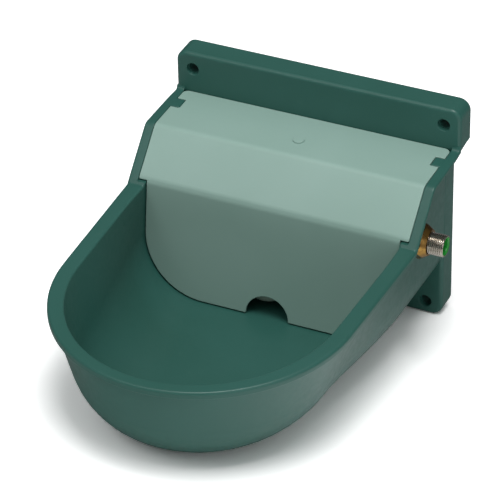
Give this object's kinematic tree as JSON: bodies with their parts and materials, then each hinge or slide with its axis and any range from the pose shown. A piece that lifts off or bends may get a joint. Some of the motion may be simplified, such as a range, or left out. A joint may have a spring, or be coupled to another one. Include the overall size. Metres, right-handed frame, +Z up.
{
  "type": "float bowl waterer",
  "caption": "Wall-mounted plastic drinking bowl for horses, with a lift-off cover and baffle over a side-fed float valve that keeps the water level.",
  "frame": {"origin": "on the wall plane, midway between the two upper screw holes", "axes": "+X to the inlet side, +Y into the wall, +Z up"},
  "size_m": [0.3075, 0.416, 0.232],
  "materials": {
    "green_plastic": "moulded, light satin",
    "cover_plastic": "moulded, fine matt texture",
    "nickel_plate": "nickel plated brass, turned",
    "brass": "bare brass, satin",
    "bright_steel": "stainless steel",
    "black_rubber": "matt",
    "strainer_plastic": "moulded, glossy",
    "white_plastic": "moulded, matt"
  },
  "bodies": {
    "bowl": {"bowl_body": "green_plastic", "valve_body": "nickel_plate", "lock_nut": "brass", "lock_washer": "brass", "inlet_gasket": "black_rubber", "inlet_strainer": "strainer_plastic", "strainer_screen": "bright_steel", "valve_nozzle": "white_plastic", "nozzle_o_ring": "black_rubber", "pivot_pin": "bright_steel", "pin_clip": "bright_steel"},
    "cover": {"cover": "cover_plastic"},
    "float_arm": {"float_lever": "brass", "float_rod": "bright_steel", "lever_lock_nut": "bright_steel", "float_lock_nut": "bright_steel", "float_body": "white_plastic", "float_cap": "white_plastic"},
    "piston": {"valve_piston": "brass", "piston_seal": "black_rubber"}
  },
  "joints": [
    {"name": "float_swing", "type": "hinge", "parent": "bowl", "child": "float_arm", "pos_m": [0.08958, -0.0985, -0.09], "axis": [0, 1, 0], "range_deg": [0, 24]},
    {"name": "piston_travel", "type": "slide", "parent": "bowl", "child": "piston", "axis": [1, 0, 0], "range_m": [0, 0.0046]},
    {"name": "cover_lift", "type": "slide", "parent": "bowl", "child": "cover", "axis": [0, 0, 1], "range_m": [0, 0.18]}
  ],
  "couplings": [
    {"joint": "piston_travel", "follows": "float_swing", "m_per_rad": 0.0109}
  ]
}
